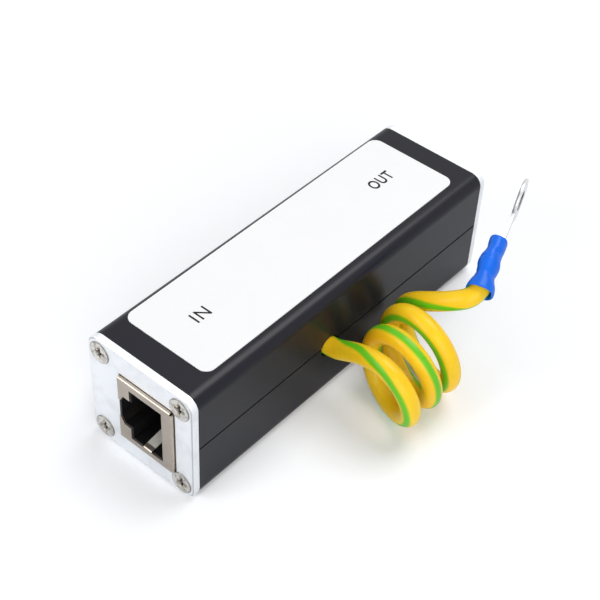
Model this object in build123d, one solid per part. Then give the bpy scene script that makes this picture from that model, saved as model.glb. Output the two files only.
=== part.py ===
from build123d import *
import math
import os

# An in-line surge protector for a network cable: a split extruded case with a jack in
# each end plate, a board of surge parts between them and a coiled earth lead.
# Millimetres. +Y runs from the IN end to the OUT end, +X is the side that the earth
# lead leaves, +Z is up, and the origin is the middle of the case's underside.

# Case
case_width = 25.0
case_height = 25.0
case_length = 80.0
case_corner_radius = 2.4
case_wall = 1.4
end_arris = 0.15
split_offset = 0.25
seam_chamfer = 0.2
tongue_thickness = 0.9
tongue_rise = 2.0
tongue_root = 2.2
tongue_clearance = 0.08
bead_radius = 0.28
bead_clearance = 0.04
slot_rib_width = 1.0
slot_rib_height = 1.3

# End plates and their screws
plate_thickness = 1.5
plate_arris = 0.25
screw_inset = 2.9
port_wall = 1.35
screw_core_radius = 1.0
port_clearance = 0.05
port_slot_width = 0.9
screw_head_radius = 2.3
screw_head_angle = 80.0
screw_length = 7.0
screw_land = 0.2
screw_land_edge = 0.07
recess_span = 2.8
recess_width = 0.8
recess_slope = 0.22
recess_depth = 0.9

# Label on the top face
label_width = 20.0
label_length = 70.0
label_thickness = 0.15
label_corner_radius = 2.0
label_offset_x = -0.71
label_offset_y = 0.25
label_turn = 0.22

# Jacks: turned on their side, so their height runs along X and their width along Z
shield_height = 13.0
shield_width = 15.7
shield_depth = 21.0
shield_sheet = 0.25
shield_bend = 0.45
shield_proud = 0.7
shield_cutout_gap = 0.22
jack_offset_x = 1.68
jack_offset_z = -0.25
relief_width = 0.45
relief_length = 2.2
window_height = 7.8
window_width = 12.5
window_shift = 0.22
notch_step_depth = 1.6
notch_step_width = 7.2
notch_throat_width = 4.4
notch_bevel = 0.75
finger_width = 2.0
finger_sheet = 0.2
finger_crest_depth = 4.4
finger_crest_rise = 0.95
finger_length = 7.4
finger_side_clearance = 0.3
leg_width = 1.3
leg_length = 3.0
leg_depth = 8.5
housing_clearance = 0.06
port_inset = 0.3
port_depth = 13.6
latch_slot_length = 9.5
latch_floor = 0.5
insert_roof = 2.0
insert_front = 2.6
insert_clearance = 0.06
contact_count = 8
contact_pitch = 1.02
contact_width = 0.45
contact_thickness = 0.25
contact_corner = 0.12
contact_bend = 0.35
contact_fold = 0.7
contact_groove_clearance = 0.08
contact_roof_gap = 0.55
contact_front = 6.8
contact_tip_depth = 11.5
contact_tip_height = 1.7
contact_row_depth = 16.0
contact_row_stagger = 2.54
contact_tail = 2.4
peg_radius = 1.6
peg_spread = 10.4
peg_depth = 11.0
peg_length = 1.5
peg_clearance = 0.1

# Hidden rods and the holes for them
rod_sides = 8
turned_sides = 20

# Board
board_thickness = 1.6
board_edge_clearance = 0.2
board_slot_clearance = 0.12
pin_hole_clearance = 0.2

# Surge parts on the board
tube_side = 4.2
tube_length = 7.6
tube_electrode = 0.9
tube_electrode_lip = 0.2
tube_bevel = 0.35
tube_rows = 2
tube_columns = 2
tube_row_pitch = 9.2
tube_column_pitch = 6.6
tube_first_column = 4.2
array_count = 4
array_pitch = 4.6
array_length = 3.0
array_width = 4.4
array_height = 1.05
array_column = -3.4
chip_count = 8
chip_pitch = 2.4
chip_length = 3.2
chip_width = 1.6
chip_height = 0.6
chip_cap = 0.5
chip_cap_lip = 0.05
chip_column = 17.6
diode_count = 2
diode_pitch = 10.0
diode_length = 4.6
diode_width = 3.6
diode_height = 2.2
diode_tab = 0.9
diode_tab_width = 2.0
diode_tab_sheet = 0.2
diode_column = -15.8

# Earth lead and its terminal
lead_diameter = 3.8
lead_sides = 10
coil_sides = 36
conductor_diameter = 2.0
lead_exit_y = -5.5
lead_exit_z = 12.2
lead_hole_clearance = 0.35
lead_bare_height = 2.4
conductor_tail = 1.2
tie_width = 1.7
tie_band = 0.9
tie_head = 3.4
tie_inset = 1.2
coil_centre_x = 24.6
coil_outer_radius = 9.6
coil_wall = 4.0
coil_front = -8.7
coil_back = 12.9
terminal_mouth = Vector(30.78, 13.9, 24.24)
terminal_direction = Vector(-0.269, 0.891, 0.365)
terminal_face = Vector(0.947, 0.313, -0.067)
sleeve_length = 10.8
sleeve_wall = 0.45
mouth_radius = 2.85
mouth_flare = 1.9
waist_radius = 2.1
swell_radius = 2.35
sleeve_step = 0.9
lead_in_sleeve = 1.8
lead_in_sleeve_clearance = 0.06
barrel_start = 4.6
barrel_length = 5.8
tongue_metal = 0.6
tongue_offset = 0.27
ring_radius = 4.25
ring_hole_radius = 1.85
ring_centre = 20.4
ring_neck = 3.0

# Places that follow from the sizes above
case_mid_z = case_height / 2
split_height = case_mid_z + split_offset
plate_face_y = case_length / 2 + plate_thickness
jack_face_y = plate_face_y + shield_proud
jack_centre_z = case_mid_z + jack_offset_z
board_face_x = jack_offset_x - shield_height / 2
board_back_x = board_face_x - board_thickness
inner_wall_x = case_width / 2 - case_wall
port_radius = screw_core_radius + port_clearance
lead_radius = lead_diameter / 2
lead_route_inside = [
    (inner_wall_x, lead_exit_y, lead_exit_z),
    (5.2, lead_exit_y, lead_exit_z),
    (1.8, -10.3, lead_exit_z),
    (board_face_x + lead_bare_height, -10.3, lead_exit_z),
]
terminal_along = terminal_direction.normalized()
lead_route_out = [
    (20.3, 10.8, 16.9),
    (22.6, 10.6, 18.9),
    (25.4, 9.9, 20.4),
    (29.0, 9.0, 21.3),
    tuple(terminal_mouth - terminal_along * 2.5),
    tuple(terminal_mouth + terminal_along * lead_in_sleeve),
]


def case_outline():
    return Pos(0, case_mid_z) * RectangleRounded(case_width, case_height, case_corner_radius)


def corner_places():
    return [
        (sx * (case_width / 2 - screw_inset), case_mid_z + sz * (case_height / 2 - screw_inset))
        for sx in (-1, 1)
        for sz in (-1, 1)
    ]


def rod(radius, length):
    # a hidden pin, core or shank, drawn with few sides
    return extrude(RegularPolygon(radius, rod_sides), length / 2, both=True)


def drill(radius, length):
    # a hole that clears a rod or wire of that radius
    return extrude(RegularPolygon(radius, rod_sides, major_radius=False), length / 2, both=True)


def flat_sided(rings):
    # a solid with flat sides between rings of points, which hold as many points each
    faces = [Face(Wire.make_polygon(rings[0])), Face(Wire.make_polygon(rings[-1]))]
    for low, high in zip(rings, rings[1:]):
        for k in range(len(low)):
            faces.append(Face(Wire.make_polygon([low[k - 1], low[k], high[k], high[k - 1]])))
    return Solid(Shell(faces))


def turned(stations):
    # a turned piece of (height, radius) stations
    turns = [2 * math.pi * k / turned_sides for k in range(turned_sides)]
    return flat_sided([
        [Vector(radius * math.cos(turn), radius * math.sin(turn), height) for turn in turns]
        for height, radius in stations
    ])


def along_y(face, length):
    return extrude(Plane.XZ * face, length / 2, both=True)


def case_envelope():
    # the full outside of both halves, with its end edges broken
    body = along_y(case_outline(), case_length)
    ends = body.faces().sort_by(Axis.Y)
    return chamfer(ends[0].edges() + ends[-1].edges(), end_arris)


def screw_ports():
    # each port is a round channel, open to the inside of the case by a narrow slot
    solid = Sketch()
    hollow = Sketch()
    for x, z in corner_places():
        inward = math.degrees(math.atan2(case_mid_z - z, -x))
        slot_length = port_radius + port_wall + 1
        slot = Pos(x, z) * Rot(0, 0, inward) * Pos(slot_length / 2, 0)
        solid += Pos(x, z) * Circle(port_radius + port_wall)
        hollow += Pos(x, z) * Circle(port_radius)
        hollow += slot * Rectangle(slot_length, port_slot_width)
    return solid & case_outline(), hollow


def board_slots():
    # two ribs on the floor and two on the roof hold the board's long edges
    ribs = Sketch()
    rib_offset = board_thickness / 2 + board_slot_clearance + slot_rib_width / 2
    board_mid_x = (board_face_x + board_back_x) / 2
    for side in (-1, 1):
        for z in (case_wall + slot_rib_height / 2, case_height - case_wall - slot_rib_height / 2):
            ribs += Pos(board_mid_x + side * rib_offset, z) * Rectangle(slot_rib_width, slot_rib_height + 0.2)
    return ribs & case_outline()


def case_section():
    inside = RectangleRounded(
        case_width - 2 * case_wall, case_height - 2 * case_wall, case_corner_radius - case_wall
    )
    port_solid, port_hollow = screw_ports()
    section = case_outline() - Pos(0, case_mid_z) * inside + port_solid + board_slots() - port_hollow
    for side in (-1, 1):
        seam = Pos(side * case_width / 2, split_height) * Rot(0, 0, 45)
        section -= seam * Rectangle(seam_chamfer * math.sqrt(2), seam_chamfer * math.sqrt(2))
    return section


def side_beads(radius):
    beads = Sketch()
    bead_x = inner_wall_x - tongue_clearance
    for side in (-1, 1):
        beads += Pos(side * bead_x, split_height + tongue_rise * 0.6) * Circle(radius)
    return beads


def tongues():
    # a lip inside each side wall of the lower half, which the upper half closes over
    lips = Sketch()
    outer_x = inner_wall_x - tongue_clearance
    lip_mid_x = outer_x - tongue_thickness / 2
    root_x = (inner_wall_x + outer_x - tongue_thickness) / 2 + 0.1
    root_width = inner_wall_x - outer_x + tongue_thickness + 0.2
    for side in (-1, 1):
        lips += Pos(side * lip_mid_x, split_height + tongue_rise / 2 - 0.5) * Rectangle(
            tongue_thickness, tongue_rise + 1.0
        )
        lips += Pos(side * root_x, split_height - tongue_root / 2) * Rectangle(root_width, tongue_root)
    return lips


def lead_hole():
    start = Pos(case_width / 2, lead_exit_y, lead_exit_z) * Rot(0, 90, 0)
    return start * Cylinder(lead_radius + lead_hole_clearance, 4 * case_wall)


def upper_shell():
    above = Pos(0, split_height + case_height / 2) * Rectangle(2 * case_width, case_height)
    section = (case_section() & above) - side_beads(bead_radius + bead_clearance)
    return (along_y(section, case_length) & case_envelope()) - lead_hole()


def lower_shell():
    below = Pos(0, split_height - case_height / 2) * Rectangle(2 * case_width, case_height)
    section = (case_section() & below) + tongues() + side_beads(bead_radius)
    return (along_y(section, case_length) & case_envelope()) - lead_hole()


def screw_places(end):
    # end is -1 at the IN plate and +1 at the OUT plate; local +Z points out of the plate
    turn = Rot(90, 0, 0) if end < 0 else Rot(-90, 0, 0)
    return [Pos(x, end * plate_face_y, z) * turn for x, z in corner_places()]


def end_plate(end):
    plate = Pos(0, end * (case_length + plate_thickness) / 2, 0) * along_y(case_outline(), plate_thickness)
    face = plate.faces().sort_by(Axis.Y)[0 if end < 0 else -1]
    plate = chamfer(face.edges(), plate_arris)
    cutout = Pos(jack_offset_x, jack_centre_z) * RectangleRounded(
        shield_height + 2 * shield_cutout_gap, shield_width + 2 * shield_cutout_gap, shield_cutout_gap
    )
    plate -= Pos(0, end * (case_length + plate_thickness) / 2, 0) * along_y(cutout, 3 * plate_thickness)
    for place in screw_places(end):
        plate -= place * screw_seat()
    return plate


def screw_seat():
    # the countersink, flush with the plate at z = 0, which tapers down to the core
    depth = (screw_head_radius - screw_core_radius) / math.tan(math.radians(screw_head_angle / 2))
    return turned([(-depth, screw_core_radius), (0, screw_head_radius)])


def screw_head():
    # the head fills its seat, and the land above it stands just proud of the plate
    shoulder = screw_land - screw_land_edge
    land = turned([
        (0, screw_head_radius),
        (shoulder, screw_head_radius),
        (screw_land, screw_head_radius - screw_land_edge),
    ])
    return screw_seat() + land


def cross_ring(height, inset):
    # the twelve corners of the cross recess at a height, drawn in by the inset
    far = recess_span / 2 - inset
    near = recess_width / 2 - inset
    quarter = [(far, near), (near, near), (near, far)]
    corners = quarter + [(-y, x) for x, y in quarter]
    corners += [(-x, -y) for x, y in corners]
    return [Vector(x, y, height) for x, y in corners]


def screw():
    shank = Pos(0, 0, -screw_length / 2) * rod(screw_core_radius, screw_length)
    recess = flat_sided([
        cross_ring(screw_land - recess_depth, recess_slope),
        cross_ring(screw_land, 0),
    ])
    return screw_head() + shank - recess


def plate_screws(end):
    return Compound(children=[place * screw() for place in screw_places(end)])


def top_label():
    sheet = RectangleRounded(label_width, label_length, label_corner_radius)
    place = Pos(label_offset_x, label_offset_y, case_height) * Rot(0, 0, label_turn)
    return place * extrude(sheet, label_thickness)


def block(x, y, z):
    # a box from its limits along each axis
    size = [high - low for low, high in (x, y, z)]
    middle = [(low + high) / 2 for low, high in (x, y, z)]
    return Pos(*middle) * Box(*size)


def jack_place(end):
    # jack parts are drawn with their face at y = 0, running inwards along +Y
    turn = Rot(0, 0, 0) if end < 0 else Rot(180, 0, 0)
    return Pos(jack_offset_x, end * jack_face_y, jack_centre_z) * turn


window_low = window_shift - window_height / 2
window_high = window_shift + window_height / 2
port_low = window_low + port_inset
port_high = window_high - port_inset
port_half_width = window_width / 2 - port_inset
contact_roof = port_high + contact_roof_gap
shield_base = -shield_height / 2
shield_half_width = shield_width / 2


def window_outline(inset, base):
    # the plug's opening with its two-stage latch notch, down to the line x = base
    half = window_width / 2 - inset
    step = notch_step_width / 2 - inset
    throat = notch_throat_width / 2 - inset
    low = window_low + inset
    shelf = window_low - notch_step_depth
    side = [
        (window_high - inset, half),
        (low, half),
        (low, step),
        (shelf, step),
        (shelf - notch_bevel, throat),
        (base, throat),
    ]
    mirrored = [(x, -z) for x, z in reversed(side)]
    return make_face(Polyline(*side, *mirrored, close=True))


def depth_prism(face, start, end):
    # extrudes an X-Z outline from depth start to depth end
    middle = (start + end) / 2
    return Pos(0, middle, 0) * along_y(face, end - start)


def spring_finger():
    # an earthing spring folded in from the edge of the window, bowed into the port
    edge = window_width / 2
    path = FilletPolyline(
        (finger_sheet / 2, -edge - shield_sheet),
        (finger_sheet / 2, -edge + finger_sheet / 2),
        (finger_crest_depth, -edge + finger_crest_rise),
        (finger_length, -edge + finger_sheet),
        radius=[finger_sheet, finger_sheet * 3],
    )
    strip = trace(path, finger_sheet)
    return Pos(window_shift - finger_width / 2, 0, 0) * extrude(Plane.YZ * strip, finger_width)


def jack_shield():
    # folded sheet: front, roof, sides and back, open towards the board
    skin = block(
        (shield_base, -shield_base), (0, shield_depth), (-shield_half_width, shield_half_width)
    )
    front = skin.faces().sort_by(Axis.Y)[0]
    folds = front.edges().sort_by(Axis.X)[1:]
    skin = fillet(folds, shield_bend)
    skin -= block(
        (shield_base - 1, -shield_base - shield_sheet),
        (shield_sheet, shield_depth - shield_sheet),
        (-shield_half_width + shield_sheet, shield_half_width - shield_sheet),
    )
    skin -= depth_prism(window_outline(0, shield_base - 1), -1, 2 * shield_sheet)
    for side in (-1, 1):
        corner_z = side * shield_half_width
        skin -= block(
            (-shield_base - relief_width, -shield_base + 1),
            (-1, relief_length),
            (corner_z - relief_width, corner_z + relief_width),
        )
        wall_z = side * (shield_half_width - shield_sheet / 2)
        skin += block(
            (shield_base - leg_length, shield_base + 1),
            (leg_depth, leg_depth + leg_width),
            (wall_z - shield_sheet / 2, wall_z + shield_sheet / 2),
        )
    skin += spring_finger()
    skin += mirror(spring_finger(), about=Plane.XY)
    return skin


def insert_outline(gap):
    # the contact carrier seen from the side: a roof plate with a block behind the port
    roof_top = -shield_base - shield_sheet - housing_clearance
    roof_low = port_high
    back = shield_depth - shield_sheet - housing_clearance
    return [
        (insert_front - gap, roof_low - gap),
        (insert_front - gap, roof_low + insert_roof + gap),
        (back, roof_low + insert_roof + gap),
        (back, shield_base),
        (port_depth - gap, shield_base),
        (port_depth - gap, roof_low - gap),
    ]


def across_z(points, half_width):
    # extrudes an outline of (depth, height) points evenly about the middle plane
    face = make_face(Polyline(*[(height, depth) for depth, height in points], close=True))
    return extrude(face, half_width, both=True)


def jack_housing():
    side = shield_half_width - shield_sheet - housing_clearance
    body = block(
        (shield_base, -shield_base - shield_sheet - housing_clearance),
        (shield_sheet, shield_depth - shield_sheet - housing_clearance),
        (-side, side),
    )
    port = block(
        (port_low, port_high), (-1, port_depth), (-port_half_width, port_half_width)
    )
    body -= port
    latch = window_outline(port_inset, shield_base + latch_floor)
    body -= depth_prism(latch, 0, latch_slot_length)
    body -= across_z(insert_outline(0), insert_half_width())
    for z_side in (-1, 1):
        edge = z_side * window_width / 2
        body -= block(
            (window_shift - finger_width / 2 - finger_side_clearance,
             window_shift + finger_width / 2 + finger_side_clearance),
            (0, finger_length + finger_side_clearance),
            (edge - shield_sheet - finger_side_clearance, edge + shield_sheet + finger_side_clearance),
        )
        peg = Pos(shield_base - peg_length / 2, peg_depth, z_side * peg_spread / 2) * Rot(0, 90, 0)
        body += peg * rod(peg_radius, peg_length)
        slot_z = z_side * side
        body -= block(
            (shield_base - 1, shield_base + 1.5),
            (leg_depth - 0.1, leg_depth + leg_width + 0.1),
            (slot_z - 0.1, slot_z + 0.1),
        )
    return body


def insert_half_width():
    return contact_count * contact_pitch / 2 + 0.9


def contact_path(depth):
    # pin tip, up the back of the carrier, forward along its roof, then folded back
    return Polyline(
        (depth, shield_base - board_thickness - contact_tail),
        (depth, contact_roof - contact_corner),
        (depth - contact_corner, contact_roof),
        (contact_front + contact_bend, contact_roof),
        (contact_front, contact_roof - contact_fold / 2),
        (contact_front + contact_bend, contact_roof - contact_fold),
        (contact_tip_depth, contact_tip_height),
    )


def contact_depth(index):
    return contact_row_depth + contact_row_stagger * (index % 2)


def contact_z(index):
    return (index - (contact_count - 1) / 2) * contact_pitch


def jack_insert():
    carrier = across_z(insert_outline(-insert_clearance), insert_half_width() - insert_clearance)
    groove = contact_width / 2 + contact_groove_clearance
    reach = contact_thickness / 2 + contact_groove_clearance
    for index in range(contact_count):
        z = (contact_z(index) - groove, contact_z(index) + groove)
        depth = contact_depth(index)
        carrier -= block((shield_base - 1, contact_roof + reach), (depth - reach, depth + reach), z)
        carrier -= block((contact_roof - reach, contact_roof + reach), (0, depth + reach), z)
        carrier -= block((port_high - 1, contact_roof + reach), (0, contact_tip_depth), z)
    return carrier


def side_strip(path, sheet, width):
    # a bent strip from its centreline, drawn as depth along +Y and height along +X
    plane = Plane(origin=(0, 0, 0), x_dir=(0, 1, 0), z_dir=(0, 0, -1))
    return extrude(plane * trace(path, sheet), width / 2, both=True)


def jack_contacts(place):
    strips = []
    for index in range(contact_count):
        strip = side_strip(contact_path(contact_depth(index)), contact_thickness, contact_width)
        strips.append(place * Pos(0, 0, contact_z(index)) * strip)
    return Compound(children=strips)


def tube_places():
    places = []
    for column in range(tube_columns):
        for row in range(tube_rows):
            y = tube_first_column + column * tube_column_pitch
            z = case_mid_z + (row - (tube_rows - 1) / 2) * tube_row_pitch
            x = board_face_x + tube_electrode_lip + tube_side / 2
            places.append((x, y, z))
    return places


def gas_tube_bodies():
    # two square ceramic sleeves in each tube, between its three electrodes
    length = (tube_length - 3 * tube_electrode) / 2
    sleeve = Box(tube_side, tube_side, length)
    sleeve = chamfer(sleeve.edges().filter_by(Axis.Z), tube_bevel)
    offset = (tube_electrode + length) / 2
    return Compound(
        children=[Pos(x, y, z + side * offset) * sleeve for x, y, z in tube_places() for side in (-1, 1)]
    )


def gas_tube_electrodes():
    # end caps and a middle plate, which stand on the board
    side = tube_side + 2 * tube_electrode_lip
    plate = Box(side, side, tube_electrode)
    offset = (tube_length - tube_electrode) / 2
    return Compound(
        children=[Pos(x, y, z + index * offset) * plate for x, y, z in tube_places() for index in (-1, 0, 1)]
    )


def row_of(count, pitch):
    return [case_mid_z + (index - (count - 1) / 2) * pitch for index in range(count)]


def diode_array_bodies():
    bodies = []
    low = board_face_x
    for z in row_of(array_count, array_pitch):
        body = block(
            (low, low + array_height),
            (array_column - array_width / 2, array_column + array_width / 2),
            (z - array_length / 2, z + array_length / 2),
        )
        bodies.append(chamfer(body.edges().filter_by(Axis.Z).group_by(Axis.X)[-1], 0.25))
    return Compound(children=bodies)


def chip_resistors():
    chips = []
    for z in row_of(chip_count, chip_pitch):
        chip = block(
            (board_face_x, board_face_x + chip_height),
            (chip_column - chip_length / 2, chip_column + chip_length / 2),
            (z - chip_width / 2, z + chip_width / 2),
        )
        for side in (-1, 1):
            cap_y = chip_column + side * (chip_length - chip_cap) / 2
            chip += block(
                (board_face_x, board_face_x + chip_height + chip_cap_lip),
                (cap_y - chip_cap / 2, cap_y + chip_cap / 2),
                (z - chip_width / 2 - chip_cap_lip, z + chip_width / 2 + chip_cap_lip),
            )
        chips.append(chip)
    return Compound(children=chips)


def surge_diodes():
    diodes = []
    for z in row_of(diode_count, diode_pitch):
        body = block(
            (board_face_x + diode_tab_sheet, board_face_x + diode_height),
            (diode_column - diode_width / 2, diode_column + diode_width / 2),
            (z - diode_length / 2, z + diode_length / 2),
        )
        body = chamfer(body.edges().group_by(Axis.X)[-1], 0.3)
        for side in (-1, 1):
            tab_z = z + side * diode_length / 2
            body += block(
                (board_face_x, board_face_x + diode_tab_sheet),
                (diode_column - diode_tab_width / 2, diode_column + diode_tab_width / 2),
                (tab_z - diode_tab, tab_z + diode_tab),
            )
        diodes.append(body)
    return Compound(children=diodes)


def circuit_board():
    half_length = case_length / 2 - board_edge_clearance
    board = block(
        (board_back_x, board_face_x),
        (-half_length, half_length),
        (case_wall + board_slot_clearance, case_height - case_wall - board_slot_clearance),
    )
    for end in (-1, 1):
        place = jack_place(end)
        for index in range(contact_count):
            pin_radius = contact_width / 2 + pin_hole_clearance
            pin = place * Pos(shield_base, contact_depth(index), contact_z(index)) * Rot(0, 90, 0)
            board -= pin * drill(pin_radius, 3 * board_thickness)
        for side in (-1, 1):
            peg = place * Pos(shield_base, peg_depth, side * peg_spread / 2) * Rot(0, 90, 0)
            board -= peg * drill(peg_radius + peg_clearance, 3 * board_thickness)
            slot = place * block(
                (shield_base - 2 * board_thickness, shield_base + 0.1),
                (leg_depth - pin_hole_clearance, leg_depth + leg_width + pin_hole_clearance),
                (side * (shield_half_width - shield_sheet / 2) - 2 * pin_hole_clearance,
                 side * (shield_half_width - shield_sheet / 2) + 2 * pin_hole_clearance),
            )
            board -= slot
    x, y, z = lead_route_inside[-1]
    strands = Pos(board_face_x, y, z) * Rot(0, 90, 0)
    board -= strands * drill(conductor_diameter / 2 + pin_hole_clearance / 2, 3 * board_thickness)
    return board


def bend_radii(points):
    # the largest arc that both runs at a corner leave room for
    radii = []
    for before, corner, after in zip(points, points[1:], points[2:]):
        run_in = Vector(*corner) - Vector(*before)
        run_out = Vector(*after) - Vector(*corner)
        half_turn = math.radians(run_in.get_angle(run_out)) / 2
        radii.append(0.45 * min(run_in.length, run_out.length) / math.tan(half_turn))
    return radii


def lead_tube(name, points):
    radii = bend_radii(points)
    path = FilletPolyline(*points, radius=radii)
    section = Plane(path @ 0, z_dir=path % 0) * RegularPolygon(lead_radius, lead_sides)
    tube = sweep(section, path=path)
    expected = section.area * path.length
    print(name, "length", round(path.length, 2), "radii", [round(r, 2) for r in radii],
          "volume", round(tube.volume, 2), "of", round(expected, 2))
    return tube


def lead_inside():
    return lead_tube("inside", lead_route_inside)


def coil_near_x():
    # where the lead, level with its hole, meets the outside of the coil
    rise = lead_exit_z - coil_outer_radius
    return coil_centre_x - math.sqrt(coil_outer_radius**2 - rise**2) + lead_radius / 2


def ground_lead_exit():
    start = Pos(inner_wall_x, lead_exit_y, lead_exit_z) * Rot(0, 90, 0)
    length = coil_near_x() - inner_wall_x
    return start * Pos(0, 0, length / 2) * extrude(RegularPolygon(lead_radius, lead_sides), length / 2, both=True)


def ground_lead_end():
    return lead_tube("end", lead_route_out)


def ground_lead_coil():
    # the outer shape of the standing coil, notched where the lead enters and leaves it
    length = coil_back - coil_front
    middle = (coil_back + coil_front) / 2
    ring = RegularPolygon(coil_outer_radius, coil_sides)
    ring -= RegularPolygon(coil_outer_radius - coil_wall, coil_sides)
    body = Pos(coil_centre_x, middle, coil_outer_radius) * along_y(ring, length)
    return body - ground_lead_exit() - ground_lead_end()


def lead_conductor():
    # the bared strands: through the board inside, and in the terminal's barrel outside
    x, y, z = lead_route_inside[-1]
    foot = board_back_x - conductor_tail
    inner = Pos((x + foot) / 2, y, z) * Rot(0, 90, 0) * rod(conductor_diameter / 2, x - foot)
    length = barrel_start + barrel_length - lead_in_sleeve
    outer = terminal_frame() * Pos(0, 0, lead_in_sleeve + length / 2)
    return Compound(children=[inner, outer * rod(conductor_diameter / 2, length)])


def lead_tie():
    # a tie cinched on the lead just inside the wall, so that it can't be pulled out
    tie_x = inner_wall_x - tongue_clearance - tongue_thickness - tie_inset / 8 - tie_width / 2
    place = Pos(tie_x, lead_exit_y, lead_exit_z) * Rot(0, 90, 0)
    band = Cylinder(lead_radius + tie_band, tie_width)
    head = Pos(0, lead_radius + tie_head / 2, 0) * Box(tie_head, tie_head, tie_width)
    return place * (band + head - Cylinder(lead_radius, 2 * tie_width))


def terminal_frame():
    # +Z along the terminal from the sleeve's mouth to the ring, +X out of the ring's face
    face = (terminal_face - terminal_along * terminal_face.dot(terminal_along)).normalized()
    return Location(Plane(origin=terminal_mouth, x_dir=face, z_dir=terminal_along))


def sleeve_profile(shrink):
    # (distance from the mouth, radius): flared mouth, crimped waists and a swell between them
    stations = [
        (0, mouth_radius),
        (mouth_flare, lead_radius + sleeve_wall + lead_in_sleeve_clearance),
        (barrel_start - sleeve_step, waist_radius),
        (barrel_start + sleeve_step, swell_radius),
        (barrel_start + barrel_length - sleeve_step, waist_radius),
        (sleeve_length, waist_radius),
    ]
    return [(distance, radius - shrink) for distance, radius in stations]


def sleeve_solid(shrink):
    return turned(sleeve_profile(shrink))


def terminal_sleeve():
    return terminal_frame() * (sleeve_solid(0) - sleeve_solid(sleeve_wall))


def ring_terminal():
    # the barrel is crimped to the shape of the sleeve's bore round the strands
    slab = Pos(0, 0, barrel_start + barrel_length / 2) * Box(4 * ring_radius, 4 * ring_radius, barrel_length)
    barrel = sleeve_solid(sleeve_wall) & slab
    neck_start = barrel_start + barrel_length
    neck_length = ring_centre - neck_start
    outline = Circle(ring_radius) + Pos(0, -neck_length / 2) * Rectangle(ring_neck, neck_length)
    outline -= Circle(ring_hole_radius)
    flat = Plane(origin=(tongue_offset - tongue_metal / 2, 0, ring_centre), x_dir=(0, 1, 0), z_dir=(1, 0, 0))
    body = barrel + extrude(flat * outline, tongue_metal)
    strands = Pos(0, 0, neck_start / 2) * rod(conductor_diameter / 2, neck_start)
    return terminal_frame() * (body - strands)


def write(parts):
    os.makedirs("parts", exist_ok=True)
    for name, shape in parts.items():
        shape.label = name
        export_step(shape, f"parts/{name}.step")


parts = {
    "upper_shell": upper_shell(),
    "lower_shell": lower_shell(),
    "top_label": top_label(),
    "circuit_board": circuit_board(),
    "gas_tube_bodies": gas_tube_bodies(),
    "gas_tube_electrodes": gas_tube_electrodes(),
    "diode_array_bodies": diode_array_bodies(),
    "chip_resistors": chip_resistors(),
    "surge_diodes": surge_diodes(),
    "lead_inside": lead_inside(),
    "lead_conductor": lead_conductor(),
    "lead_tie": lead_tie(),
    "ground_lead_exit": ground_lead_exit(),
    "ground_lead_coil": ground_lead_coil(),
    "ground_lead_end": ground_lead_end(),
    "terminal_sleeve": terminal_sleeve(),
    "ring_terminal": ring_terminal(),
}
for end_name, end_side in (("in", -1), ("out", 1)):
    place = jack_place(end_side)
    parts[f"{end_name}_end_plate"] = end_plate(end_side)
    parts[f"{end_name}_plate_screws"] = plate_screws(end_side)
    parts[f"{end_name}_jack_shield"] = place * jack_shield()
    parts[f"{end_name}_jack_housing"] = place * jack_housing()
    parts[f"{end_name}_jack_insert"] = place * jack_insert()
    parts[f"{end_name}_jack_contacts"] = jack_contacts(place)

write(parts)
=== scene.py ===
"""An in-line surge protector for a network cable, dressed for rendering.

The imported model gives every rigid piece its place. This script adds the earth lead as one
smooth cord, the sleeve and ring of its terminal, the lettering of the label and all finishes,
and sets up a pale studio with the photograph's camera. The shapes made here are laid out in
millimetres, and put into the row's frame in metres.
"""

from __future__ import annotations
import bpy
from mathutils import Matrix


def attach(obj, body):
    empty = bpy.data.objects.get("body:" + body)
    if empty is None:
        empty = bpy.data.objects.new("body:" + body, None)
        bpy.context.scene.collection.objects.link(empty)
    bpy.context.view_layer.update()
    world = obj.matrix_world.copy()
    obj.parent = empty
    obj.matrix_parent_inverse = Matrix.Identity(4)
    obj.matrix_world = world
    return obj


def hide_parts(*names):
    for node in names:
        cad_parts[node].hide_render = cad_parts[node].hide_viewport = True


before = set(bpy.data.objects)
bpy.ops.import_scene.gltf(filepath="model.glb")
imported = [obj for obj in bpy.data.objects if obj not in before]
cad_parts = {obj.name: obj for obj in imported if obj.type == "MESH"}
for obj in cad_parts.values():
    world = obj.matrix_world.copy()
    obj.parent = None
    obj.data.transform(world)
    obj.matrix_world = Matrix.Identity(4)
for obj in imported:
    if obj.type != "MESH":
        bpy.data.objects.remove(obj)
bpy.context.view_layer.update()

import logging
import math
from dataclasses import dataclass
from enum import Enum
from functools import cache
from typing import Any, Sequence

import bpy
import numpy as np
from mathutils import Matrix, Vector

LOG = logging.getLogger("surge_protector")
MM = 0.001
BODY = "root"

Pair = tuple[float, float]
Point = tuple[float, float, float]
Colour = tuple[float, float, float]
Stations = tuple[Pair, ...]


def srgb(red: int, green: int, blue: int) -> Colour:
    """Turn an eight-bit display colour into the linear colour that a shader takes.

    Args:
        red: Red from 0 to 255.
        green: Green from 0 to 255.
        blue: Blue from 0 to 255.

    Returns:
        The linear colour, each part from 0 to 1.
    """
    shares = (value / 255.0 for value in (red, green, blue))
    return tuple(share / 12.92 if share <= 0.04045 else ((share + 0.055) / 1.055) ** 2.4 for share in shares)


def toned(colour: Colour, share: float) -> Colour:
    """Scale a colour, with no part of it over 1."""
    return tuple(min(1.0, part * share) for part in colour)


# ---- shader maths


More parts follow.
